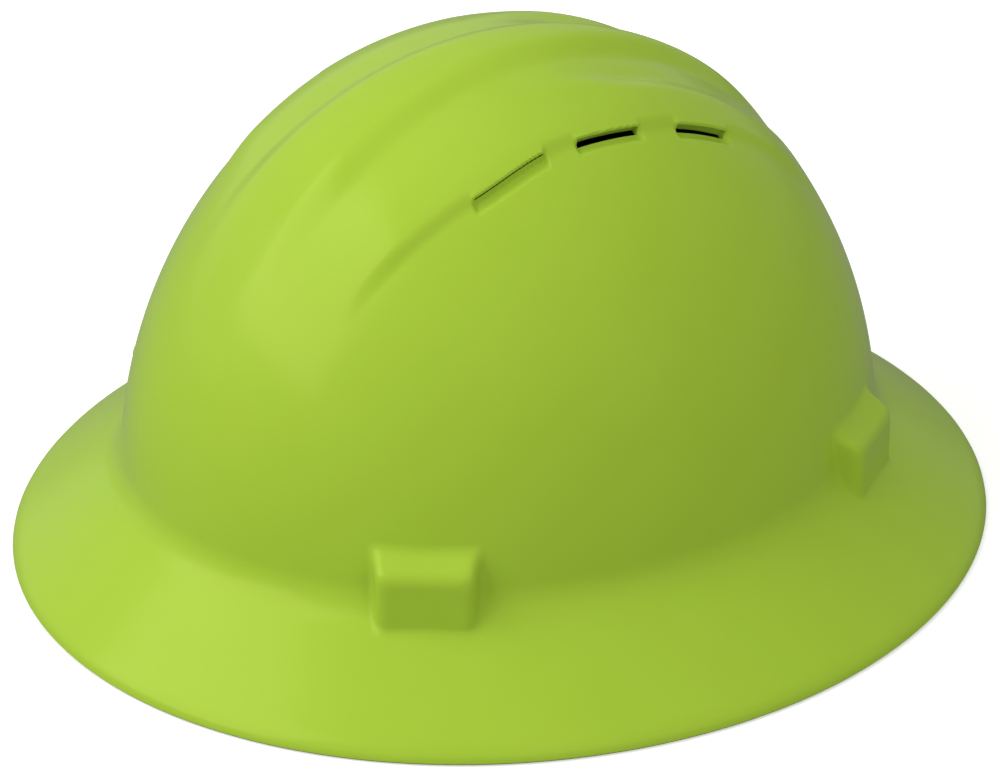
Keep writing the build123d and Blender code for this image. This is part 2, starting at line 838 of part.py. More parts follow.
with BuildPart() as ratchet_case:
    add(case_shape(case_inner, channel_outer))
    channel = arc_block(
        channel_inner,
        channel_outer + overrun,
        -2 * case_half_angle,
        2 * case_half_angle,
        ratchet_level - window_half_height,
        ratchet_level + window_half_height,
    )
    add(channel, mode=Mode.SUBTRACT)
    with BuildSketch(nape.offset(case_inner - overrun)):
        Circle(journal_radius + journal_fit)
    extrude(amount=case_wall + 2 * overrun, mode=Mode.SUBTRACT)
    with BuildSketch(nape.offset(channel_outer - cover_screw_depth)):
        with Locations(*screw_places):
            Circle(cover_screw_radius + hole_fit)
    extrude(amount=cover_screw_depth + overrun, mode=Mode.SUBTRACT)
ratchet_case.part.label = "ratchet_case"
export_step(ratchet_case.part, "parts/ratchet_case.step")

detent_outline = []
for i in range(2 * detent_teeth):
    turn = math.pi * i / detent_teeth
    radius = detent_ring_radius - detent_ring_wall - (i % 2) * detent_tooth_depth
    detent_outline.append((radius * math.sin(turn), radius * math.cos(turn)))
with BuildPart() as ratchet_cover:
    add(case_shape(cover_inner_radius, cover_outer_radius))
    with BuildSketch(ring_base):
        Circle(detent_ring_radius)
    extrude(amount=detent_ring_height + detent_ring_sink)
    with BuildSketch(cover_face):
        with BuildLine():
            Polyline(*detent_outline, close=True)
        make_face()
    extrude(amount=detent_ring_height + overrun, mode=Mode.SUBTRACT)
    with BuildSketch(nape.offset(cover_inner_radius - overrun)):
        Circle(root_radius + journal_fit)
        with Locations(*screw_places):
            Circle(cover_screw_radius + hole_fit)
    extrude(amount=cover_thickness + 2 * overrun, mode=Mode.SUBTRACT)
ratchet_cover.part.label = "ratchet_cover"
export_step(ratchet_cover.part, "parts/ratchet_cover.step")

with BuildPart() as cover_screws:
    for place_x, place_z in screw_places:
        plan_radius = math.sqrt(cover_outer_radius**2 - (abs(place_x) - cover_screw_head_radius) ** 2)
        with BuildSketch(nape.offset(plan_radius)):
            with Locations((place_x, place_z)):
                Circle(cover_screw_head_radius)
        extrude(amount=screw_head)
        with BuildSketch(nape.offset(plan_radius)):
            with Locations((place_x, place_z)):
                Circle(cover_screw_radius)
        extrude(amount=channel_outer - cover_screw_depth + screw_clearance - plan_radius)
        with BuildSketch(nape.offset(plan_radius + screw_head / 2)):
            with Locations((place_x, place_z)):
                Rectangle(2 * cover_screw_radius, screw_slot)
                Rectangle(screw_slot, 2 * cover_screw_radius)
        extrude(amount=screw_head, mode=Mode.SUBTRACT)
cover_screws.part.label = "cover_screws"
export_step(cover_screws.part, "parts/cover_screws.step")

# Pinion: ten involute teeth between the racks, an inner journal and a six-sided drive for the knob
base_radius = pitch_radius * math.cos(math.radians(pressure_angle))


def involute(angle):
    return math.tan(angle) - angle


tooth_arc = math.pi * rack_module / 2 - tooth_backlash
tooth_turn = tooth_arc / (2 * pitch_radius) + involute(math.radians(pressure_angle))
pinion_outline = []
for i in range(pinion_teeth):
    centre_turn = 2 * math.pi * (i + 1 / 2) / pinion_teeth
    flank = []
    for j in range(flank_steps + 1):
        radius = base_radius + (tip_radius - base_radius) * j / flank_steps
        flank.append((tooth_turn - involute(math.acos(base_radius / radius)), radius))
    points = [(-tooth_turn, root_radius)] + [(-turn, radius) for turn, radius in flank]
    points += [(turn, radius) for turn, radius in reversed(flank)] + [(tooth_turn, root_radius)]
    for turn, radius in points:
        pinion_outline.append((radius * math.sin(centre_turn + turn), radius * math.cos(centre_turn + turn)))

pinion_start = channel_inner + journal_fit
pinion_end = math.sqrt(channel_outer**2 - tip_radius**2) - journal_fit
spring_start = cover_outer_radius + spring_gap
knob_start = ring_top + knob_gap
knob_end = knob_start + knob_height
drive_end = knob_end - knob_dish - case_wall
with BuildPart() as pinion:
    with BuildSketch(nape.offset(pinion_start)):
        with BuildLine():
            Polyline(*pinion_outline, close=True)
        make_face()
    extrude(amount=pinion_end - pinion_start)
    with BuildSketch(nape.offset(case_inner + journal_fit)):
        Circle(journal_radius)
    extrude(amount=pinion_start - case_inner)
    with BuildSketch(nape.offset(pinion_end)):
        Circle(root_radius)
    extrude(amount=spring_start - pinion_end)
    with BuildSketch(nape.offset(spring_start)):
        RegularPolygon(drive_flat, drive_sides, major_radius=False)
    extrude(amount=drive_end - spring_start)
    with BuildSketch(nape.offset(pinion_end)):
        Circle(screw_radius + hole_fit)
    extrude(amount=drive_end - pinion_end + overrun, mode=Mode.SUBTRACT)
pinion.part.label = "pinion"
export_step(pinion.part, "parts/pinion.step")

# Detent spring: a thin ring on two spokes with two noses in the cover's teeth
notch_radius = detent_ring_radius - detent_ring_wall
nose_radius = notch_radius - spring_gap
spring_ring_outer = notch_radius - detent_tooth_depth - 2 * spring_band
with BuildPart() as detent_spring:
    with BuildSketch(nape.offset(spring_start)):
        Circle(spring_hub_radius + spring_band)
        Circle(spring_ring_outer)
        Circle(spring_ring_outer - spring_band, mode=Mode.SUBTRACT)
        Circle(spring_hub_radius + spring_band)
        Rectangle(2 * spring_ring_outer - spring_band, 2 * spring_band)
        with BuildLine():
            Polyline(
                (-spring_band, spring_ring_outer - spring_band / 2),
                (0, nose_radius),
                (spring_band, spring_ring_outer - spring_band / 2),
                close=True,
            )
        make_face()
        with BuildLine():
            Polyline(
                (-spring_band, spring_band / 2 - spring_ring_outer),
                (0, -nose_radius),
                (spring_band, spring_band / 2 - spring_ring_outer),
                close=True,
            )
        make_face()
        RegularPolygon(drive_flat + hole_fit, drive_sides, major_radius=False, mode=Mode.SUBTRACT)
    extrude(amount=detent_ring_height - 2 * spring_gap)
detent_spring.part.label = "detent_spring"
export_step(detent_spring.part, "parts/detent_spring.step")

# Knob with a rubber grip and its centre screw
core_radius = knob_radius - grip_thickness
with BuildPart() as knob:
    with BuildSketch(nape.offset(knob_start)):
        Circle(core_radius)
    extrude(amount=knob_height)
    with BuildSketch(nape.offset(knob_end)):
        Circle(knob_dish_radius)
    extrude(amount=-knob_dish, taper=knob_dish_taper, mode=Mode.SUBTRACT)
    with BuildSketch(nape.offset(knob_start - overrun)):
        RegularPolygon(drive_flat + hole_fit, drive_sides, major_radius=False)
    extrude(amount=drive_end - knob_start + hole_fit + overrun, mode=Mode.SUBTRACT)
    with BuildSketch(nape.offset(drive_end - screw_clearance)):
        Circle(screw_radius + hole_fit)
    extrude(amount=knob_height, mode=Mode.SUBTRACT)
    rim = knob.edges().filter_by(GeomType.CIRCLE).sort_by(SortBy.LENGTH)[-2:].sort_by(Axis.Y)[-1]
    fillet(rim, radius=grip_thickness / 2)
knob.part.label = "knob"
export_step(knob.part, "parts/knob.step")

with BuildPart() as knob_grip:
    with BuildSketch(nape.offset(knob_start + grip_inset)):
        Circle(knob_radius)
        with PolarLocations(knob_radius + grip_rib_shift, knob_ribs):
            Circle(grip_rib_radius, mode=Mode.SUBTRACT)
        Circle(core_radius + journal_fit, mode=Mode.SUBTRACT)
    extrude(amount=grip_height)
knob_grip.part.label = "knob_grip"
export_step(knob_grip.part, "parts/knob_grip.step")

with BuildPart() as knob_screw:
    with BuildSketch(nape.offset(spring_start)):
        Circle(screw_radius)
    extrude(amount=knob_end - knob_dish - spring_start + journal_fit)
    with BuildSketch(nape.offset(knob_end - knob_dish + journal_fit)):
        Circle(screw_head_radius)
    extrude(amount=screw_head)
    with BuildSketch(nape.offset(knob_end - knob_dish + screw_head / 2)):
        Rectangle(2 * screw_radius, screw_slot)
        Rectangle(screw_slot, 2 * screw_radius)
    extrude(amount=screw_head, mode=Mode.SUBTRACT)
knob_screw.part.label = "knob_screw"
export_step(knob_screw.part, "parts/knob_screw.step")

with BuildPart() as nape_pad:
    pad_half = case_half_angle - math.degrees(nape_pad_margin / case_inner)
    with BuildSketch(nape):
        RectangleRounded(
            case_width - 2 * nape_pad_margin, 2 * (case_half_height - nape_pad_margin), case_corner
        )
    extrude(amount=2 * band_half_width)
    layer = arc_block(
        case_inner - pad_gap - nape_pad_depth,
        case_inner - pad_gap,
        -2 * pad_half,
        2 * pad_half,
        case_bottom,
        case_top,
    )
    add(layer, mode=Mode.INTERSECT)
nape_pad.part.label = "nape_pad"
export_step(nape_pad.part, "parts/nape_pad.step")
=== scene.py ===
import math

import bpy
import numpy as np
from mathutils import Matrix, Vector


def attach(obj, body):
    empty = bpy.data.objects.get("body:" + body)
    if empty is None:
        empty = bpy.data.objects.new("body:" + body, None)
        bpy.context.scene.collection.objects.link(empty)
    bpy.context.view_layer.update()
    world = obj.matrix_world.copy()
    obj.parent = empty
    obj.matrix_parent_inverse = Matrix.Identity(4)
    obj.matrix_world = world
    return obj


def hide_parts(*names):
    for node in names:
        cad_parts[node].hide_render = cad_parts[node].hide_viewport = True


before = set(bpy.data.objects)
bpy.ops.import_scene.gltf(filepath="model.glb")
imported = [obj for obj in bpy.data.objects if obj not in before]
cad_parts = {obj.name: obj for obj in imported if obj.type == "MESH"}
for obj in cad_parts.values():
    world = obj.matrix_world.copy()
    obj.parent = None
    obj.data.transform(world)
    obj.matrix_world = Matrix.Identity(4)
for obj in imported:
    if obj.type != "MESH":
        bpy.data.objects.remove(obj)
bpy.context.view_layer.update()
bpy.ops.object.select_all(action="DESELECT")

# Camera: a long lens, a little above the hat and off its left front corner, as in the photograph. It looks
# straight at the middle of the picture, so it needs no shift, and the hat's origin shows at origin_px, origin_py.
MM = 0.001
view_turn, view_rise = math.radians(60.0), math.radians(30.87)
focal_px, stand_off = 5632.2, 1800.0
picture_wide, picture_high, sensor_wide = 1000, 778, 36
origin_px, origin_py = 502.34, 510.86
flat_part = math.cos(view_rise)
back = Vector((math.sin(view_turn) * flat_part, -math.cos(view_turn) * flat_part, math.sin(view_rise)))
bpy.ops.object.camera_add(location=back * stand_off * MM)
camera = bpy.context.object
camera.name = "camera"
right = Vector((math.cos(view_turn), math.sin(view_turn), 0))
above = back.cross(right)
middle_of_picture = (
    -back
    + right * (picture_wide / 2 - origin_px) / focal_px
    + above * (origin_py - picture_high / 2) / focal_px
)
camera.rotation_euler = middle_of_picture.to_track_quat("-Z", "Y").to_euler()
camera.data.sensor_width = sensor_wide
camera.data.lens = focal_px * sensor_wide / picture_wide
camera.data.clip_start, camera.data.clip_end = 0.05, 50
bpy.context.scene.camera = camera
bpy.context.scene.view_settings.view_transform = "Standard"


# Studio: a white paper sweep under three soft lights, the strongest high in front and a little to the wearer's
# right. The one at the wearer's left leaves no reflection, and the room is dimmer towards the left rear. The
# camera sees the floor and the room as white, and the floor keeps the hat's soft shadow.
def linear(code):
    """An sRGB hex colour as linear light."""
    parts = [int(code[i : i + 2], 16) / 255 for i in (1, 3, 5)]
    return tuple(c / 12.92 if c <= 0.04045 else ((c + 0.055) / 1.055) ** 2.4 for c in parts) + (1.0,)


def blank_tree(owner):
    """The node tree of a new material or world, emptied."""
    owner.use_nodes = True
    owner.node_tree.nodes.clear()
    return owner.node_tree


def add(tree, kind, links=None, **values):
    """A node with its settings, its socket values by name or number, and links from other nodes' sockets."""
    node = tree.nodes.new(kind)
    for key, value in values.items():
        if hasattr(node, key):
            setattr(node, key, value)
        elif key[0] == "i" and key[1:].isdigit():
            node.inputs[int(key[1:])].default_value = value
        else:
            node.inputs[key.replace("_", " ")].default_value = value
    for key, source in (links or {}).items():
        tree.links.new(source, node.inputs[key])
    return node


room_bright, room_dim, room_turn = 0.7, 0.33, math.radians(60.0)
world = bpy.data.worlds.new("room")
bpy.context.scene.world = world
tree = blank_tree(world)
rays = add(tree, "ShaderNodeLightPath")
straight = {0: rays.outputs["Is Camera Ray"], 1: rays.outputs["Is Transmission Ray"]}
seen = add(tree, "ShaderNodeMath", straight, operation="MAXIMUM")
way = add(tree, "ShaderNodeTexCoord")
turned = add(tree, "ShaderNodeMapping", {"Vector": way.outputs["Generated"]}, Rotation=(0, 0, room_turn))
apart = add(tree, "ShaderNodeSeparateXYZ", {0: turned.outputs[0]})
fall = {"i1": -1.0, "i2": 0.9, "i3": room_bright, "i4": room_dim}
falloff = add(tree, "ShaderNodeMapRange", {"Value": apart.outputs["Y"]}, **fall)
dim = add(tree, "ShaderNodeBackground", {"Strength": falloff.outputs[0]}, Color=linear("#FFFFFF"))
white = add(tree, "ShaderNodeBackground", Color=linear("#FFFFFF"), Strength=1.0)
mixed = add(tree, "ShaderNodeMixShader", {0: seen.outputs[0], 1: dim.outputs[0], 2: white.outputs[0]})
add(tree, "ShaderNodeOutputWorld", {0: mixed.outputs[0]})

floor_wide, floor_level, floor_lift = 12, -0.0002, 0.42
bpy.ops.mesh.primitive_plane_add(size=floor_wide, location=(0, 0, floor_level))
floor = bpy.context.object
floor.name = "floor"
paper = bpy.data.materials.new("white_paper_sweep")
tree = blank_tree(paper)
rays = add(tree, "ShaderNodeLightPath")
matt = add(tree, "ShaderNodeBsdfDiffuse", Color=linear("#F4F4F2"))
shaded = add(tree, "ShaderNodeBsdfDiffuse", Color=linear("#989895"))
lift = add(tree, "ShaderNodeEmission", Color=linear("#FFFFFF"), Strength=floor_lift)
both = add(tree, "ShaderNodeAddShader", {0: matt.outputs[0], 1: lift.outputs[0]})
choice = {0: rays.outputs["Is Camera Ray"], 1: shaded.outputs[0], 2: both.outputs[0]}
mixed = add(tree, "ShaderNodeMixShader", choice)
add(tree, "ShaderNodeOutputMaterial", {0: mixed.outputs[0]})
floor.data.materials.append(paper)

look_at = Vector((0, 0, 0.08))
for name, place, size, power in (
    ("key_light", (-0.35, -1.8, 1.5), (2.2, 1.8), 32.5),
    ("side_light", (1.8, 0.15, 1.15), (1.8, 1.4), 13.0),
    ("top_light", (-0.3, -0.2, 2.0), (1.6, 1.6), 3.0),
):
    bpy.ops.object.light_add(type="AREA", location=place)
    lamp = bpy.context.object
    lamp.name = name
    lamp.data.shape = "RECTANGLE"
    lamp.data.size, lamp.data.size_y = size
    lamp.data.energy = power
    lamp.visible_glossy = name != "side_light"
    lamp.rotation_euler = (look_at - Vector(place)).to_track_quat("-Z", "Y").to_euler()

# Shell: one injection moulding in high density polyethylene, dome, brim, raised bands and bosses together.
# A fine sheet is wrapped round the moulding's profile, drawn out into the bands and bosses, and cut for the vents.
# Sizes are in millimetres, and x runs to the wearer's left, -y forwards and z up from the brim's edge.
wall = 2.4
crown_a, crown_b, crown_c, crown_shift, crown_level = 124.1, 105.15, 141.9, -0.6, 24.0
brim_a, brim_b, crease_level, rim_edge = 158.5, 144.35, 32.5, 3.0
inner_drop, bend_up, bend_out, roll_in = 2.96, 7.0, 7.5, 7.0
lip_top, lip_low, lip_under, lip_in, lip_back, lip_end = 3.4, 0.9, -0.9, 1.0, 2.3, 1.75
# Rows of the sheet: dome, bend, brim, roll and turned lip, then brim, bend and dome again on the inside
rows = (84, 9, 12, 5, 5, 9, 5, 26)
around, first_inner = 360, 5


def read(items, field):
    """A vector, such as co, normal or center, of each of a mesh's vertices or faces."""
    got = np.empty(len(items) * 3)
    items.foreach_get(field, got)
    return got.reshape(-1, 3)


def set_points(piece, spots):
    """Puts a mesh's points, given in millimetres, in place."""
    piece.data.vertices.foreach_set("co", (np.asarray(spots) * MM).ravel())
    piece.data.update()


def mend(distance=0.00003):
    """Closes the seams of the active piece's sheet and turns its faces outwards."""
    bpy.ops.object.mode_set(mode="EDIT")
    bpy.ops.mesh.select_all(action="SELECT")
    bpy.ops.mesh.remove_doubles(threshold=distance)
    bpy.ops.mesh.normals_make_consistent(inside=False)
    bpy.ops.object.mode_set(mode="OBJECT")


def pick(first, *others):
    """Selects these pieces and no others, the first one active."""
    bpy.ops.object.select_all(action="DESELECT")
    for piece in (first, *others):
        piece.select_set(True)
    bpy.context.view_layer.objects.active = first


def coat(piece, finish):
    piece.data.materials.clear()
    piece.data.materials.append(finish)


def smooth(x):
    """A soft step from 0 to 1."""
    x = np.clip(x, 0, 1)
    return x * x * (3 - 2 * x)


def window(y, start, fade_in, end, fade_out):
    """1 from start to end, with a soft rise behind the start and a soft fall before the end."""
    return smooth((y - start) / fade_in) * smooth((end - y) / fade_out)


step_middle, step_lean, step_bow, step_tuck = 47.2, 0.047, 1130.0, 2.3


def step_x(y):
    """Distance from the middle to the step under a raised band, which is tucked in along the first vent."""
    return step_middle - step_lean * y - y * y / step_bow - step_tuck * smooth((y + 36) / 30)


def bend(p0, p1, p2, s):
    """A curve from p0 to p2 that is drawn towards p1."""
    s = s[:, None]
    return p0 * (1 - s) ** 2 + p1 * 2 * s * (1 - s) + p2 * s * s


def dome(t, theta, inset):
    """Points of the dome at a turn about the upright axis and an angle down from the top."""
    a, b, c = crown_a - inset, crown_b - inset, crown_c - inset
    x, y = b * np.sin(theta) * np.sin(t), crown_shift - a * np.sin(theta) * np.cos(t)
    return np.stack((x, y, crown_level + c * np.cos(theta)), 1)


def ring(t, half_x, half_y, shift, level):
    """Points of an oval at one level."""
    return np.stack((half_x * np.sin(t), shift - half_y * np.cos(t), level + 0 * t), 1)


def brim_line(t, inwards, level):
    """Points of the brim's outline, drawn in and put at a level."""
    return ring(t, brim_b - inwards, brim_a - inwards, 0, level)


def profile(t, row):
    """Points of the moulding's skin by turn and row, from the top of the dome out, round the rim and back inside."""
    spot = np.zeros((len(t), 3))
    ends = np.concatenate(((0,), np.cumsum(rows)))
    waist = math.sqrt(1 - ((crease_level - crown_level) / crown_c) ** 2)
    for part in range(len(rows)):
        here = (row >= ends[part]) & (row <= ends[part + 1])
        s = (row[here] - ends[part]) / rows[part]
        u = t[here]
        inset, drop = (wall, inner_drop) if part >= first_inner else (0.0, 0.0)
        crease = ring(u, (crown_b - inset) * waist, (crown_a - inset) * waist, crown_shift, crease_level - drop)
        rim = brim_line(u, 0, rim_edge - drop)
        low = math.acos((crease_level - drop + bend_up - crown_level) / (crown_c - inset))
        wide = np.linalg.norm(rim - crease, axis=1)[:, None]
        bend_start, bend_end = dome(u, low + 0 * u, inset), crease + (rim - crease) * bend_out / wide
        if part == 0:
            spot[here] = dome(u, low * s, 0.0)
        elif part == 1:
            spot[here] = bend(bend_start, crease, bend_end, s)
        elif part == 2:
            roll = crease + (rim - crease) * (1 - roll_in / wide)
            spot[here] = bend_end + (roll - bend_end) * s[:, None]
        elif part == 3:
            roll = crease + (rim - crease) * (1 - roll_in / wide)
            spot[here] = bend(roll, brim_line(u, 0, lip_top), brim_line(u, 0, lip_low), s)
        elif part == 4:
            under, behind = brim_line(u, lip_in, lip_under), brim_line(u, lip_back, lip_end)
            spot[here] = bend(brim_line(u, 0, lip_low), under, behind, s)
        elif part == 5:
            inner_rim = crease + (rim - crease) * (1 - lip_back / wide)
            spot[here] = inner_rim + (bend_end - inner_rim) * s[:, None]
        elif part == 6:
            spot[here] = bend(bend_end, crease, bend_start, s)
        else:
            spot[here] = dome(u, low * (1 - s), wall)
    return spot


bpy.ops.mesh.primitive_grid_add(x_subdivisions=around, y_subdivisions=sum(rows), size=2)
shell = bpy.context.object
shell.name = "hard_hat_shell"
co = read(shell.data.vertices, "co")
turn, row = (co[:, 0] + 1) * math.pi, (co[:, 1] + 1) / 2 * sum(rows)
set_points(shell, profile(turn, row))

# The bosses stand on the wall at one level: the front and rear one's turn about the hat, and the way each faces
boss_level, boss_turns = 49.0, ((53.1, 57.4), (133.1, 128.0))
boss_waist = math.sqrt(1 - ((boss_level - crown_level) / crown_c) ** 2)
bosses = []
for about, facing in boss_turns:
    x = crown_b * boss_waist * math.sin(math.radians(about))
    y = crown_shift - crown_a * boss_waist * math.cos(math.radians(about))
    for side in (1, -1):
        out = np.array((side * math.sin(math.radians(facing)), -math.cos(math.radians(facing))))
        bosses.append((np.array((side * x, y)), out, np.array((-out[1], out[0]))))

# The sheet is made three times finer where the bands step down, at the vents and round the bosses
near_step, step_low, step_front, step_rear = 5.5, 85, -88, 96
near_boss, boss_behind, boss_before, boss_above = 21, -6, 13.5, 54
centre = read(shell.data.polygons, "center") / MM
row_of = np.array([row[p.vertices[0]] for p in shell.data.polygons])
outside = row_of < sum(rows[:3])
cx, cy, cz = centre.T
fine = (np.abs(np.abs(cx) - step_x(cy)) < near_step) & (cz > step_low) & (cy > step_front) & (cy < step_rear)
for origin, out, along in bosses:
    flat = centre[:, :2] - origin
    u, w = flat @ along, flat @ out
    fine |= (np.abs(u) < near_boss) & (w > boss_behind) & (w < boss_before) & (cz < boss_above)
bpy.ops.object.mode_set(mode="EDIT")
bpy.ops.mesh.select_mode(type="FACE")
bpy.ops.mesh.select_all(action="DESELECT")
bpy.ops.object.mode_set(mode="OBJECT")
shell.data.polygons.foreach_set("select", fine & outside)
bpy.ops.object.mode_set(mode="EDIT")
bpy.ops.mesh.subdivide(number_cuts=2, smoothness=0)
bpy.ops.object.mode_set(mode="OBJECT")
mend(0.00002)

# The fine points go back onto the dome, then the skin is drawn out along its normals. From the middle of the hat
# outwards come the ridge, a valley, the raised band and its step, which is soft except at the vents.
band_rise, crest_rise, valley_depth, valley_rear = 1.6, 2.6, 0.4, 1.2
valley_middle, valley_lean, valley_bank, ridge_bank, band_bank = 15.6, 0.09, 9.0, 11.5, 8.0
# Where each form starts along the hat, how far it takes to rise, where it ends and how far it takes to fall
band_run, ridge_run, valley_run, wide_run = (-83, 22, 104, 30), (-104, 44, 118, 44), (-80, 24, 98, 26), (2, 30, 100, 30)
vent_start, vent_run, vent_fade, vent_over, scoop_depth = -37.2, 92.9, 1.6, 1.4, 1.5
vent_shares = ((0.0, 0.268), (0.398, 0.636), (0.797, 1.0))
radii, heart = np.array((crown_b, crown_a, crown_c)), np.array((0, crown_shift, crown_level))
co = read(shell.data.vertices, "co") / MM
rel = (co - heart) / radii
reach = np.linalg.norm(rel, axis=1)
on_dome = (co[:, 2] > crease_level + bend_up + 0.5) & (reach > 1 - 1.0 / crown_b)
rel[on_dome] /= reach[on_dome][:, None]
co[on_dome] = rel[on_dome] * radii + heart
normal = rel / radii
normal /= np.linalg.norm(normal, axis=1)[:, None]
x, y = np.abs(co[:, 0]), co[:, 1]
lean = np.sqrt(np.clip(1 - normal[:, 0] ** 2, 0.2, 1))
s = (x - step_x(y)) / lean
valley = valley_middle - valley_lean * y
to_rear = smooth((y - 2) / 34)
outer_side = valley + 4.0 + 5.0 * window(y, *wide_run)
into_valley = smooth((x - valley + valley_bank) / valley_bank)
out_of_valley = 1 - smooth((x - outer_side) / valley_bank)
groove = -(valley_depth + valley_rear * to_rear) * into_valley * out_of_valley * window(y, *valley_run)
ridge = crest_rise * (1 - smooth((x - valley + ridge_bank) / ridge_bank)) * window(y, *ridge_run)
ramp = np.clip((x - valley) / np.clip(step_x(y) - valley - 5.0, 1, None), 0, 1)
rear_band = smooth((x - outer_side) / band_bank)
swell = band_rise * (ramp + (rear_band - ramp) * to_rear) * window(y, *band_run)
vents = [(vent_start + vent_run * first, vent_start + vent_run * last) for first, last in vent_shares]
open_here = sum(window(y, a - vent_over, vent_fade, b + vent_over, vent_fade) for a, b in vents)
soft_edge = 1 - smooth((s + 3.4) / 5.6)
crisp_edge = 1 - smooth((s + 0.5) / 0.7)
scoop = -scoop_depth * smooth((s - 0.1) / 0.7) * (1 - smooth((s - 1.8) / 3.4))
relief = groove + ridge + swell * (soft_edge * (1 - open_here) + crisp_edge * open_here) + scoop * open_here
co[on_dome] += (normal * relief[:, None])[on_dome]


def soft_min(a, b, k):
    """The smaller of two distances, with the corner between them rounded over k."""
    h = np.clip(k - np.abs(a - b), 0, None) / k
    return np.minimum(a, b) - h * h * k / 4


# Each boss is drawn straight out of the wall: a drafted block with rounded edges, blended into dome and brim
boss_half, boss_out, boss_top, boss_round, boss_blend = 14.6, 8.0, 46.0, 3.2, 1.8
side_draft, side_cos, top_slope, top_cos, wall_cos = 0.2, 0.9806, 0.529, 0.884, 0.85
block_half, block_in, block_out, block_low, block_high = 24, -8, 16, 14, 56
search_in, search_out, halvings = 2.0, 14.0, 34
inner_skin = (reach < 1 - 1.0 / crown_b) & (co[:, 2] > 30)
skin_out = (read(shell.data.vertices, "normal")[:, 2] > -0.02) & ~inner_skin
for origin, out, along in bosses:
    flat = co[:, :2] - origin
    u, w0, z = flat @ along, flat @ out, co[:, 2]
    here = skin_out & (np.abs(u) < block_half) & (w0 > block_in) & (w0 < block_out) & (z < block_high) & (z > block_low)
    u, w0, z = u[here], w0[here], z[here]
    low, high = w0 - search_in, w0 + search_out
    for _ in range(halvings):
        w = (low + high) / 2
        d_side = (np.abs(u) - boss_half + (w - boss_out) * side_draft) * side_cos
        d_top = (z - boss_top + (w - boss_out) * top_slope) * top_cos
        block = -soft_min(-(w - boss_out), soft_min(-d_side, -d_top, boss_round), boss_round)
        inside = soft_min((w - w0) * wall_cos, block, boss_blend) < 0
        low, high = np.where(inside, w, low), np.where(inside, high, w)
    co[here, :2] += out * ((low + high) / 2 - w0)[:, None]
set_points(shell, co)

# Cutters for the six vent slots follow the foot of the step and open it from high to low, and four boxes clear
# the pockets for the keys
vent_slots, slot_middle, slot_half = ((-1.2, 0.0), (-1.0, 1.4), (-1.0, 1.3)), -2.6, 3.4
pocket_out, pocket_half_out, pocket_half_wide, pocket_level, pocket_half_high = 3.7, 2.1, 10.3, 27.5, 14.5
cutters = []
for side in (1, -1):
    for (first, last), (high, low) in zip(vents, vent_slots):
        bpy.ops.mesh.primitive_cube_add(size=2)
        cutter = bpy.context.object
        bpy.ops.object.mode_set(mode="EDIT")
        bpy.ops.mesh.subdivide(number_cuts=12)
        bpy.ops.object.mode_set(mode="OBJECT")
        c = read(cutter.data.vertices, "co")
        yy = (first + last) / 2 + c[:, 1] * (last - first) / 2
        xx = step_x(yy)
        zz = crown_level + crown_c * np.sqrt(1 - (xx / crown_b) ** 2 - ((yy - crown_shift) / crown_a) ** 2)
        foot = np.stack((xx, yy, zz), 1)
        n = (foot - heart) / radii**2
        n /= np.linalg.norm(n, axis=1)[:, None]
        down = np.cross(np.broadcast_to((0.0, 1.0, 0.0), n.shape), n)
        down /= np.linalg.norm(down, axis=1)[:, None]
        across = high + (c[:, 0] + 1) / 2 * (low - high)
        place = foot + down * across[:, None] + n * (slot_middle + c[:, 2] * slot_half)[:, None]
        place[:, 0] *= side
        set_points(cutter, place)
        cutters.append(cutter)
for origin, out, along in bosses:
    bpy.ops.mesh.primitive_cube_add(size=2)
    cutter = bpy.context.object
    c = read(cutter.data.vertices, "co")
    flat = origin + out * (pocket_out + pocket_half_out * c[:, :1]) + along * (pocket_half_wide * c[:, 1:2])
    set_points(cutter, np.concatenate((flat, pocket_level + pocket_half_high * c[:, 2:]), 1))
    cutters.append(cutter)
pick(*cutters)
bpy.ops.object.join()
cutter = bpy.context.object
bpy.ops.object.mode_set(mode="EDIT")
bpy.ops.mesh.select_all(action="SELECT")
bpy.ops.mesh.normals_make_consistent(inside=False)
bpy.ops.object.mode_set(mode="OBJECT")
pick(shell)
cut = shell.modifiers.new("vents_and_pockets", "BOOLEAN")
cut.object, cut.operation, cut.solver = cutter, "DIFFERENCE", "EXACT"
bpy.ops.object.modifier_apply(modifier=cut.name)
bpy.data.objects.remove(cutter)
bpy.ops.object.shade_smooth_by_angle(angle=math.radians(42))

# Moulded polyethylene, coloured right through: a close satin gloss that takes soft reflections, with a faint
# orange peel from the mould and slight mottling of the colour.
lime = bpy.data.materials.new("moulded_lime_polyethylene")
tree = blank_tree(lime)
spot = add(tree, "ShaderNodeTexCoord")
mottle = add(tree, "ShaderNodeTexNoise", {"Vector": spot.outputs["Object"]}, Scale=28.0, Detail=3.0)
shades = {"i6": linear("#A2C538"), "i7": linear("#A8C93E")}
tint = add(tree, "ShaderNodeMix", {"Factor": mottle.outputs[0]}, data_type="RGBA", **shades)
peel = add(tree, "ShaderNodeTexNoise", {"Vector": spot.outputs["Object"]}, Scale=420.0, Detail=2.0)
bump = add(tree, "ShaderNodeBump", {"Height": peel.outputs[0]}, Strength=0.05, Distance=0.0004)
gloss = add(tree, "ShaderNodeMapRange", {"Value": mottle.outputs[0]}, i3=0.19, i4=0.25)
skin = add(
    tree,
    "ShaderNodeBsdfPrincipled",
    {"Base Color": tint.outputs[2], "Normal": bump.outputs[0], "Roughness": gloss.outputs[0]},
    IOR=1.5,
    Specular_IOR_Level=0.26,
    Specular_Tint=linear("#F4F8A0"),
    Subsurface_Weight=0.08,
    Subsurface_Radius=(1.0, 1.0, 0.4),
    Subsurface_Scale=0.003,
)
add(tree, "ShaderNodeOutputMaterial", {0: skin.outputs[0]})
coat(shell, lime)
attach(shell, "shell")
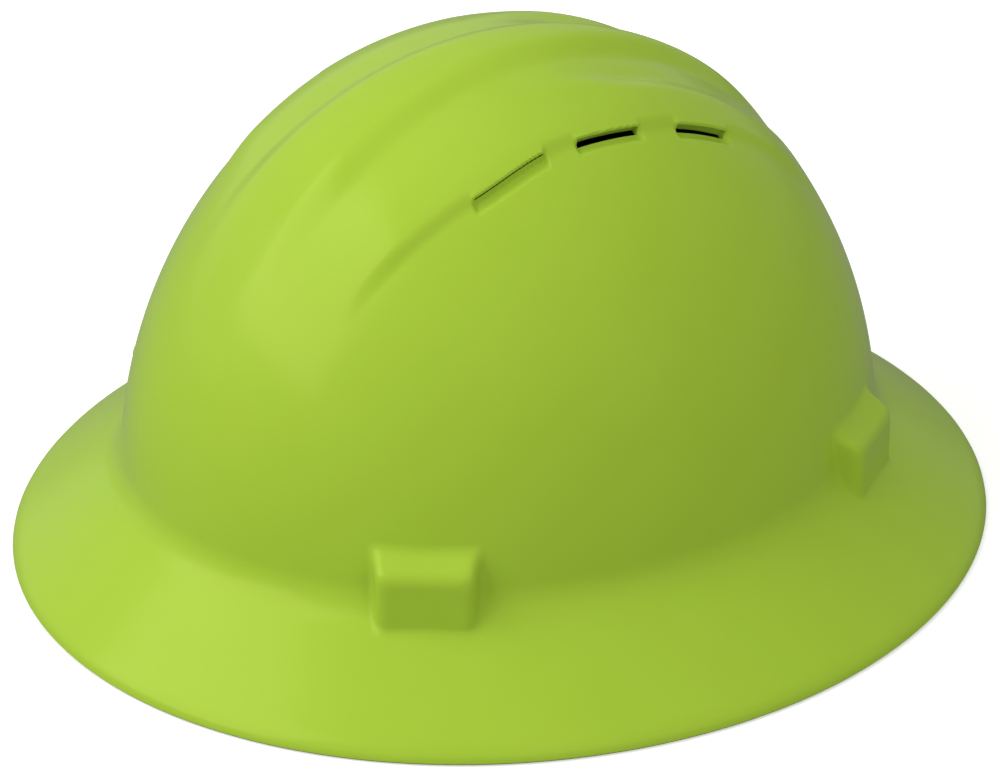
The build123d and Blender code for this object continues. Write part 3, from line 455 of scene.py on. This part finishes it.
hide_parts("shell")


# Suspension keys: four clips moulded in glass filled nylon. Each one's blade is pushed up into the pocket of a
# boss, and its arm hangs inside the shell with a strap riveted to its top and a stud for the hanger below.
def dress(names, finish):
    """Gives CAD nodes their finish."""
    for name in names:
        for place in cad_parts[name].material_slots:
            place.material = finish


def moulded(name, low, high, roughness, grain, depth, ior=1.46, mottle_scale=60.0):
    """Moulded plastic: two close shades in soft patches, and the fine spark eroded grain that its mould leaves."""
    made = bpy.data.materials.new(name)
    tree = blank_tree(made)
    spot = add(tree, "ShaderNodeTexCoord")
    patches = add(tree, "ShaderNodeTexNoise", {"Vector": spot.outputs["Object"]}, Scale=mottle_scale, Detail=3.0)
    shades = {"i6": linear(low), "i7": linear(high)}
    tint = add(tree, "ShaderNodeMix", {"Factor": patches.outputs[0]}, data_type="RGBA", **shades)
    sparks = add(tree, "ShaderNodeTexNoise", {"Vector": spot.outputs["Object"]}, Scale=1000.0 / grain, Detail=2.0)
    bump = add(tree, "ShaderNodeBump", {"Height": sparks.outputs[0]}, Strength=0.5, Distance=depth * MM)
    gloss = add(tree, "ShaderNodeMapRange", {"Value": patches.outputs[0]}, i3=roughness - 0.05, i4=roughness + 0.06)
    links = {"Base Color": tint.outputs[2], "Normal": bump.outputs[0], "Roughness": gloss.outputs[0]}
    skin = add(tree, "ShaderNodeBsdfPrincipled", links, IOR=ior)
    add(tree, "ShaderNodeOutputMaterial", {0: skin.outputs[0]})
    return made


nylon = moulded("glass_filled_nylon", "#1B1C1E", "#242528", 0.46, 0.5, 0.05, ior=1.53)
dress(["key_front_left", "key_front_right", "key_rear_left", "key_rear_right"], nylon)


# Crown straps: two lengths of polyester webbing, 19 mm wide, that run from a front key over the head to the far
# rear key. They are woven flat with a firm selvedge, heat cut, and riveted to the keys and to each other. The
# seats lie seat_in inside the bosses, and one strap lies strap_over above the other in an arc from strap_foot.
strap_wide, strap_thick, strap_long, seat_in = 19.0, 1.25, 262.0, 9.9
strap_foot, strap_rise, strap_low, strap_over, strap_sink = 50.0, 78.0, 48.7, 1.7, 0.7
front_seat, rear_seat = (bosses[i][0] - bosses[i][1] * seat_in for i in (0, 2))
front_y, rear_y = front_seat[1] - crown_shift, rear_seat[1] - crown_shift
spread = front_seat[0] ** 2 * rear_y**2 - rear_seat[0] ** 2 * front_y**2
strap_x = math.sqrt(spread / (rear_y**2 - front_y**2))
strap_y = math.sqrt(spread / (front_seat[0] ** 2 - rear_seat[0] ** 2))
crossing_y = front_seat[1] + (rear_seat[1] - front_seat[1]) * front_seat[0] / (front_seat[0] + rear_seat[0])


def size_uv(piece, length, width):
    """Gives a piece's UV map its real size in millimetres, so that a weave keeps its thread spacing."""
    layer = piece.data.uv_layers.active.data
    uv = np.empty(len(layer) * 2)
    layer.foreach_get("uv", uv)
    layer.foreach_set("uv", (uv.reshape(-1, 2) * (length, width)).ravel())


# Woven polyester: ribs across the strap 1.3 mm apart, each crossed by the warp, with two tight selvedges. The
# threads' crowns are painted lighter and the gaps between them darker, a painted highlight and painted shade. The
# heavy yarn has a slight sheen.
webbing = bpy.data.materials.new("woven_polyester_webbing")
tree = blank_tree(webbing)
spot = add(tree, "ShaderNodeUVMap")
along = add(tree, "ShaderNodeMapping", {"Vector": spot.outputs[0]}, Scale=(0.77, 0.0, 0.0))
across = add(tree, "ShaderNodeMapping", {"Vector": spot.outputs[0]}, Scale=(0.0, 0.72, 0.0))
bands = {"wave_type": "BANDS", "Scale": 0.314}
rib = add(tree, "ShaderNodeTexWave", {"Vector": along.outputs[0]}, bands_direction="X", Distortion=0.3, **bands)
warp = add(tree, "ShaderNodeTexWave", {"Vector": across.outputs[0]}, bands_direction="Y", Distortion=0.2, **bands)
weave = add(tree, "ShaderNodeMath", {0: rib.outputs["Fac"], 1: warp.outputs["Fac"]}, operation="MULTIPLY")
fuzz = add(tree, "ShaderNodeTexNoise", {"Vector": spot.outputs[0]}, Scale=0.9, Detail=4.0)
height = add(tree, "ShaderNodeMath", {0: weave.outputs[0], 1: fuzz.outputs[0]}, operation="ADD")
bump = add(tree, "ShaderNodeBump", {"Height": height.outputs[0]}, Strength=0.7, Distance=0.00035)
# Painted highlight and shade: the weave's crowns take the light shade and the gaps between threads the dark one
shades = {"i6": linear("#151617"), "i7": linear("#3B3C3E")}
tint = add(tree, "ShaderNodeMix", {"Factor": weave.outputs[0]}, data_type="RGBA", **shades)
links = {"Base Color": tint.outputs[2], "Normal": bump.outputs[0]}
skin = add(tree, "ShaderNodeBsdfPrincipled", links, Roughness=0.78, Sheen_Weight=0.25)
add(tree, "ShaderNodeOutputMaterial", {0: skin.outputs[0]})

for hand, side, layer in (("left", 1, 0), ("right", -1, 1)):
    bpy.ops.mesh.primitive_grid_add(x_subdivisions=150, y_subdivisions=14, size=2)
    strap = bpy.context.object
    strap.name = "crown_webbing_" + hand
    c = read(strap.data.vertices, "co")
    way = np.array((-side * (front_seat[0] + rear_seat[0]), rear_seat[1] - front_seat[1]))
    way /= np.linalg.norm(way)
    side_way = np.array((-way[1], way[0]))
    rise = strap_rise + strap_over * layer - strap_sink
    start = np.array((0.0, crossing_y - crown_shift)) + side_way * (c[:, 1:2] * strap_wide / 2)
    oval = np.array((strap_x, strap_y))
    a2 = ((way / oval) ** 2).sum()
    ab = (start * way / oval**2).sum(1)
    rest = 1 - ((start / oval) ** 2).sum(1) + ab**2 / a2
    crest = rise * np.sqrt(rest)
    low = np.arcsin((strap_foot - strap_low) / crest)
    bow = -low + (c[:, 0] + 1) / 2 * (math.pi + 2 * low)
    reach = -ab / a2 - np.sqrt(rest / a2) * np.cos(bow)
    flat = start + way * reach[:, None] + (0, crown_shift)
    set_points(strap, np.concatenate((flat, (strap_foot + crest * np.sin(bow))[:, None]), 1))
    size_uv(strap, strap_long, strap_wide)
    thick = strap.modifiers.new("thickness", "SOLIDIFY")
    thick.thickness, thick.offset = strap_thick * MM, 0.0
    bpy.ops.object.modifier_apply(modifier=thick.name)
    soft = strap.modifiers.new("selvedge", "BEVEL")
    soft.width, soft.segments, soft.limit_method, soft.angle_limit = 0.4 * MM, 3, "ANGLE", math.radians(50)
    bpy.ops.object.modifier_apply(modifier=soft.name)
    bpy.ops.object.shade_smooth_by_angle(angle=math.radians(50))
    coat(strap, webbing)
    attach(strap, "shell")
    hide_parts("crown_strap_" + hand)


# Rivets: snapped acetal studs with domed heads, one at each key and a larger one where the straps cross.
acetal = moulded("black_acetal", "#141415", "#1C1C1D", 0.34, 0.8, 0.02, ior=1.48)
dress(["strap_rivets", "crown_rivet"], acetal)


# Crown pad: a rounded square of leather with a thin foam filling, sewn round its edge and held under the straps
# by the crown rivet. It is stuffed a little fuller in the middle than at the stitching.
pad_half, pad_corner, pad_thick, rivet_hole, pad_seam = 22.6, 9.0, 1.55, 2.75, 2.6
face_share, edge_round = 0.45, 0.35
stitch_long, thread_half, thread_round, thread_lift, thread_dip, dip_share = 3.0, 0.28, 1.8, 0.16, 0.75, 0.16


def rounded_edge(turn, half_u, half_v, corner):
    """Distance from the middle of a rounded rectangle to its edge, for each direction."""
    cu, cv = np.abs(np.cos(turn)), np.abs(np.sin(turn))
    edge = np.minimum(half_u / np.clip(cu, 1e-6, None), half_v / np.clip(cv, 1e-6, None))
    in_u, in_v = half_u - corner, half_v - corner
    at_corner = (edge * cu > in_u) & (edge * cv > in_v)
    dot = in_u * cu + in_v * cv
    edge[at_corner] = (dot + np.sqrt(np.clip(dot**2 - in_u**2 - in_v**2 + corner**2, 0, None)))[at_corner]
    return edge


def sew(pad, path, outward, closed):
    """Sews a row of stitches along a line on a pad: the thread comes up, lies on the face and dips back in."""
    step = np.concatenate(((0,), np.cumsum(np.linalg.norm(np.diff(path, axis=0), axis=1))))
    stitches = round(step[-1] / stitch_long)
    count = stitches * 8 + 1
    along = np.linspace(0, step[-1], count)
    line, away = (np.stack([np.interp(along, step, column) for column in t.T], 1) for t in (path, outward))
    ahead = np.gradient(line, axis=0)
    ahead /= np.linalg.norm(ahead, axis=1)[:, None]
    beside = np.cross(ahead, away)
    share = along / step[-1] * stitches % 1
    lift = thread_lift - thread_dip * (1 - smooth(np.minimum(share, 1 - share) / dip_share))
    bpy.ops.object.select_all(action="DESELECT")
    bpy.ops.mesh.primitive_grid_add(x_subdivisions=count - 1, y_subdivisions=6, size=2)
    seam = bpy.context.object
    c = read(seam.data.vertices, "co")
    at = np.rint((c[:, 0] + 1) / 2 * (count - 1)).astype(int)
    angle = (c[:, 1] + 1) * math.pi
    thick = thread_half * (1.0 if closed else smooth(np.minimum(along, step[-1] - along) / 0.4))
    thick = np.broadcast_to(thick, along.shape)[at, None]
    around_it = beside[at] * np.cos(angle)[:, None] + away[at] * np.sin(angle)[:, None]
    set_points(seam, line[at] + away[at] * lift[at, None] + around_it * thick)
    size_uv(seam, step[-1], thread_round)
    mend()
    bpy.ops.object.shade_smooth()
    coat(seam, thread)
    pick(pad, seam)
    bpy.ops.object.join()


# Sewing thread: bonded polyester, three plies twisted about once a millimetre, a little lighter than the pads
thread = bpy.data.materials.new("bonded_polyester_thread")
tree = blank_tree(thread)
spot = add(tree, "ShaderNodeUVMap")
plies = {"wave_type": "BANDS", "bands_direction": "DIAGONAL", "Scale": 0.45}
twist = add(tree, "ShaderNodeTexWave", {"Vector": spot.outputs[0]}, **plies)
# Painted highlight and shade: the twist's ridges take the light shade and the grooves between the plies the dark one
shades = {"i6": linear("#3C3D40"), "i7": linear("#66676B")}
tint = add(tree, "ShaderNodeMix", {"Factor": twist.outputs["Fac"]}, data_type="RGBA", **shades)
bump = add(tree, "ShaderNodeBump", {"Height": twist.outputs["Fac"]}, Strength=0.5, Distance=0.0001)
links = {"Base Color": tint.outputs[2], "Normal": bump.outputs[0]}
skin = add(tree, "ShaderNodeBsdfPrincipled", links, Roughness=0.6)
add(tree, "ShaderNodeOutputMaterial", {0: skin.outputs[0]})

hx, hy, hz = strap_x + 0.7, strap_y + 0.7, strap_rise - 1.7


def under_straps(px, py):
    """Height of the crossing straps' underside, px and py away from where they cross."""
    return strap_foot + hz * np.sqrt(1 - (px / hx) ** 2 - ((py + crossing_y - crown_shift) / hy) ** 2)


bpy.ops.mesh.primitive_grid_add(x_subdivisions=160, y_subdivisions=60, size=2)
crown_pad = bpy.context.object
crown_pad.name = "crown_pad_leather"
c = read(crown_pad.data.vertices, "co")
turn, share = (c[:, 0] + 1) * math.pi, (c[:, 1] + 1) / 2
edge = rounded_edge(turn, pad_half, pad_half, pad_corner)
top, under = share < face_share, share > 1 - face_share
out_share = np.where(top, share / face_share, np.where(under, (1 - share) / face_share, 1.0))
round_edge = np.clip((share - face_share) / 0.1, 0, 1)
outer_round = edge_round * np.sin(round_edge * math.pi) * (out_share >= 1)
radius = rivet_hole + (edge - edge_round - rivet_hole) * out_share + outer_round
px, py = radius * np.cos(turn), radius * np.sin(turn)
gap_to_edge = edge - radius
# The filling thins towards the edge, is pinched by the stitching, and is pressed flatter round the rivet
fill = 0.55 + 0.45 * smooth((gap_to_edge - 3.2) / 5.0) - 0.25 * np.exp(-(((gap_to_edge - pad_seam) / 0.7) ** 2))
fill *= np.where(radius < 7.0, 0.72 + 0.28 * smooth((radius - 4.0) / 3.0), 1.0)
down = np.where(top, 0.0, np.where(under, 1.0, round_edge)) * pad_thick * fill + 0.12 * (1 - fill)
set_points(crown_pad, np.stack((px, py + crossing_y, under_straps(px, py) - down), 1))
size_uv(crown_pad, 150.0, 60.0)
mend()
bpy.ops.object.shade_smooth_by_angle(angle=math.radians(60))

# Split leather: small uneven pebbles about 1 mm across from the grain plate, creases between them, satin wax.
leather = bpy.data.materials.new("embossed_split_leather")
tree = blank_tree(leather)
spot = add(tree, "ShaderNodeTexCoord")
grain = {"feature": "DISTANCE_TO_EDGE", "Scale": 900.0, "Randomness": 0.9}
pebbles = add(tree, "ShaderNodeTexVoronoi", {"Vector": spot.outputs["Object"]}, **grain)
creases = add(tree, "ShaderNodeMapRange", {"Value": pebbles.outputs["Distance"]}, i1=0.0, i2=0.12)
wear = add(tree, "ShaderNodeTexNoise", {"Vector": spot.outputs["Object"]}, Scale=90.0, Detail=5.0)
shades = {"i6": linear("#17181A"), "i7": linear("#2D2D2F")}
tint = add(tree, "ShaderNodeMix", {"Factor": wear.outputs[0]}, data_type="RGBA", **shades)
bump = add(tree, "ShaderNodeBump", {"Height": creases.outputs[0]}, Strength=0.6, Distance=0.00022)
links = {"Base Color": tint.outputs[2], "Normal": bump.outputs[0]}
skin = add(tree, "ShaderNodeBsdfPrincipled", links, Roughness=0.52)
add(tree, "ShaderNodeOutputMaterial", {0: skin.outputs[0]})
coat(crown_pad, leather)
seam_points = 721
turn = np.linspace(0, 2 * math.pi, seam_points)
radius = rounded_edge(turn, pad_half, pad_half, pad_corner) - pad_seam
px, py = radius * np.cos(turn), radius * np.sin(turn)
pz = under_straps(px, py) - 0.55
sew(crown_pad, np.stack((px, py + crossing_y, pz), 1), np.tile((0.0, 0.0, -1.0), (seam_points, 1)), True)
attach(crown_pad, "shell")
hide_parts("crown_pad")


# Headband, hangers and adjusting straps: thin bands moulded flat in polyethylene and bent round the head. The
# hangers are pinned to the band, and the toothed ends of the straps run through the band's keepers.
band_plastic = moulded("charcoal_polyethylene", "#26272A", "#2F3033", 0.42, 0.7, 0.03, ior=1.51)
dress(["headband", "hanger_front_left", "hanger_front_right", "hanger_rear_left", "hanger_rear_right"], band_plastic)
dress(["adjusting_strap_left", "adjusting_strap_right"], band_plastic)


# Brow pad: a strip of foam in a knitted polyester cover, sewn along its top and bottom and across in six
# places. It fits the inside of the band over the brow, and the foam bulges between the rows of stitching.
band_x, band_y, band_mid, band_gap = 80.0, 118.0, 17.0, 1.85
brow_end, brow_low, brow_high, brow_deep = 61.6, 19.2, 48.8, 4.9
brow_half_long, brow_corner, brow_radius, brow_thin = 122.0, 5.0, 105.0, 1.15
side_deep, back_deep = 0.55, 0.45
quilting = np.radians((-52.0, -31.2, -10.4, 10.4, 31.2, 52.0))


def squared(value, power):
    """A sine or cosine made squarer, so that an oval turns into a rounded box."""
    return np.sign(value) * np.abs(value) ** power


def on_band(angle, inset, level):
    """Points inside the headband, by their angle from the front."""
    reach = 1 / np.sqrt((np.sin(angle) / (band_x - inset)) ** 2 + (np.cos(angle) / (band_y - inset)) ** 2)
    return np.stack((reach * np.sin(angle), band_mid - reach * np.cos(angle), level + 0 * angle), 1)


bpy.ops.mesh.primitive_grid_add(x_subdivisions=330, y_subdivisions=72, size=2)
brow_pad = bpy.context.object
brow_pad.name = "brow_sweatband"
c = read(brow_pad.data.vertices, "co")
angle, loop = np.radians(brow_end) * c[:, 0], (c[:, 1] + 1) * math.pi
from_end = (1 - np.abs(c[:, 0])) * brow_half_long
corner_in = brow_corner - np.clip(from_end, 0, brow_corner)
half_high = (brow_high - brow_low) / 2 - brow_corner + np.sqrt(np.clip(brow_corner**2 - corner_in**2, 0, None))
up = half_high * squared(np.cos(loop), 0.45)
to_edge = half_high - np.abs(up)
tuck = np.zeros(len(c))
for seam in quilting:
    tuck = np.maximum(tuck, np.exp(-(((angle - seam) * brow_radius / 1.5) ** 2)))
# The foam bulges in the middle, is pulled down at the quilting and by its edge stitches, and wrinkles a little
crown = smooth((to_edge - 2.4) / 5.5) ** 0.7
wave = 1 + 0.05 * np.sin(angle * 61.0 + up * 0.35) * crown
swell = (brow_deep - brow_thin) * crown * (1 - 0.6 * tuck) * smooth((from_end - 1.0) / 9.0) * wave
front = brow_thin + swell
front -= 0.35 * np.exp(-(((to_edge - 2.0) / 0.55) ** 2))
bulge = np.abs(np.sin(loop)) ** 0.35
deep = np.where(np.sin(loop) >= 0, side_deep + (front - side_deep) * bulge, side_deep - back_deep * bulge)
set_points(brow_pad, on_band(angle, band_gap + deep, (brow_low + brow_high) / 2 + up))
size_uv(brow_pad, 244.0, 72.0)
mend()
bpy.ops.object.shade_smooth_by_angle(angle=math.radians(60))

# Knitted polyester: interlocked loops about 1.1 mm apart that give a soft pebbled face, matt, with a short
# nap that lightens it at a glancing angle. The loops' tops are painted lighter and the gaps between them darker,
# a painted highlight and painted shade, over a random tone.
knit = bpy.data.materials.new("knitted_polyester")
tree = blank_tree(knit)
spot = add(tree, "ShaderNodeTexCoord")
stitching = {"feature": "F1", "Scale": 900.0, "Randomness": 0.35}
loops = add(tree, "ShaderNodeTexVoronoi", {"Vector": spot.outputs["Object"]}, **stitching)
height = add(tree, "ShaderNodeMapRange", {"Value": loops.outputs["Distance"]}, i1=0.0, i2=0.7, i3=1.0, i4=0.0)
shade = add(tree, "ShaderNodeTexNoise", {"Vector": spot.outputs["Object"]}, Scale=45.0, Detail=4.0)
mixed = add(tree, "ShaderNodeMath", {0: height.outputs[0], 1: shade.outputs[0]}, operation="MULTIPLY")
# Painted highlight and shade: the loop tops take the light shade and the gaps between loops the dark one
shades = {"i6": linear("#141517"), "i7": linear("#4A4B4F")}
tint = add(tree, "ShaderNodeMix", {"Factor": mixed.outputs[0]}, data_type="RGBA", **shades)
bump = add(tree, "ShaderNodeBump", {"Height": height.outputs[0]}, Strength=0.65, Distance=0.0003)
links = {"Base Color": tint.outputs[2], "Normal": bump.outputs[0]}
skin = add(tree, "ShaderNodeBsdfPrincipled", links, Roughness=0.92, Sheen_Weight=0.35)
add(tree, "ShaderNodeOutputMaterial", {0: skin.outputs[0]})
coat(brow_pad, knit)
angle = np.radians(np.linspace(-59.0, 59.0, 601))
to_head = np.stack((-np.sin(angle), np.cos(angle), 0 * angle), 1)
for level in (brow_low + 2.0, brow_high - 2.0):
    sew(brow_pad, on_band(angle, band_gap + 0.77, level), to_head, False)
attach(brow_pad, "headband")
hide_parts("brow_pad_cover", "brow_pad_core")


# Nape pad: a small cushion of the same knit over foam, sewn round its edge and stuck to the inside of the
# ratchet's case, so that the case doesn't press on the neck.
nape_wide, nape_low, nape_high, nape_corner = 26.0, 14.15, 41.85, 5.0
nape_out, nape_in, nape_deep, nape_thin, nape_side, nape_back = 78.25, 1.5, 3.2, 1.2, 0.5, 0.45
nape_middle, nape_half = (nape_low + nape_high) / 2, (nape_high - nape_low) / 2
bpy.ops.mesh.primitive_grid_add(x_subdivisions=160, y_subdivisions=56, size=2)
nape_pad = bpy.context.object
nape_pad.name = "nape_cushion"
c = read(nape_pad.data.vertices, "co")
turn, share = (c[:, 0] + 1) * math.pi, (c[:, 1] + 1) / 2
edge = rounded_edge(turn, nape_wide, nape_half, nape_corner)
front_side = share > 0.5
out_share = np.where(front_side, (1 - share) / 0.5, share / 0.5)
radius = edge * np.sin(out_share * math.pi / 2)
gap_to_edge = edge * (1 - np.sin(out_share * math.pi / 2))
# Its edge is rounded, its face bulges, and the row of stitches pinches it
lip = np.sqrt(np.clip(1 - np.clip(1 - gap_to_edge / 0.9, 0, 1) ** 2, 0, 1))
front = nape_thin + (nape_deep - nape_thin) * smooth((gap_to_edge - 1.6) / 5.5) ** 0.8
front -= 0.3 * np.exp(-(((gap_to_edge - 1.6) / 0.5) ** 2))
deep = np.where(front_side, nape_side + (front - nape_side) * lip, nape_side - nape_back * lip)
u, v = radius * np.cos(turn), radius * np.sin(turn)
swing = np.arcsin(np.clip(u / (nape_out - nape_in), -1, 1))
curve = nape_out - deep
spots = np.stack((curve * np.sin(swing), band_mid + curve * np.cos(swing), nape_middle + v), 1)
set_points(nape_pad, spots)
size_uv(nape_pad, 120.0, 40.0)
mend()
bpy.ops.object.shade_smooth_by_angle(angle=math.radians(60))
coat(nape_pad, knit)
turn = np.linspace(0, 2 * math.pi, seam_points)
radius = rounded_edge(turn, nape_wide, nape_half, nape_corner) - 1.7
swing = np.arcsin(radius * np.cos(turn) / (nape_out - nape_in))
to_head = np.stack((-np.sin(swing), -np.cos(swing), 0 * swing), 1)
middle = np.array((0, band_mid, nape_middle))
around_pad = middle - to_head * (nape_out - 0.9) + np.stack((0 * turn, 0 * turn, radius * np.sin(turn)), 1)
sew(nape_pad, around_pad, to_head, True)
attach(nape_pad, "headband")
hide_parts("nape_pad")


# Ratchet: a curved case and cover moulded in textured ABS, closed by four small screws, with a pinion of the same
# between the two racks. The white acetal spring rides in the cover's toothed ring and clicks as the knob turns.
abs_black = moulded("textured_abs", "#17181A", "#202124", 0.55, 0.45, 0.06, ior=1.53)
dress(["ratchet_case", "ratchet_cover", "pinion"], abs_black)
white_acetal = moulded("white_acetal", "#D6D6D0", "#E4E4DF", 0.36, 0.9, 0.02, ior=1.48)
dress(["detent_spring"], white_acetal)


# Knob: an ABS disc, dished in the middle, with a ribbed rubber grip moulded over its rim and one screw through
# its middle into the pinion.
dress(["knob"], abs_black)
rubber = moulded("overmoulded_rubber", "#101112", "#191A1B", 0.82, 0.6, 0.09, ior=1.52, mottle_scale=120.0)
dress(["knob_grip"], rubber)

# Zinc plated steel: bright and slightly blue, drawn wire stock with a fine haze and a few dull patches.
zinc = bpy.data.materials.new("zinc_plated_steel")
tree = blank_tree(zinc)
spot = add(tree, "ShaderNodeTexCoord")
haze = add(tree, "ShaderNodeTexNoise", {"Vector": spot.outputs["Object"]}, Scale=700.0, Detail=4.0)
dull = add(tree, "ShaderNodeMapRange", {"Value": haze.outputs[0]}, i3=0.2, i4=0.42)
shades = {"i6": linear("#B4B8BC"), "i7": linear("#D2D4D4")}
tint = add(tree, "ShaderNodeMix", {"Factor": haze.outputs[0]}, data_type="RGBA", **shades)
bump = add(tree, "ShaderNodeBump", {"Height": haze.outputs[0]}, Strength=0.3, Distance=0.00005)
links = {"Base Color": tint.outputs[2], "Normal": bump.outputs[0], "Roughness": dull.outputs[0]}
skin = add(tree, "ShaderNodeBsdfPrincipled", links, Metallic=1.0)
add(tree, "ShaderNodeOutputMaterial", {0: skin.outputs[0]})
dress(["cover_screws", "knob_screw"], zinc)
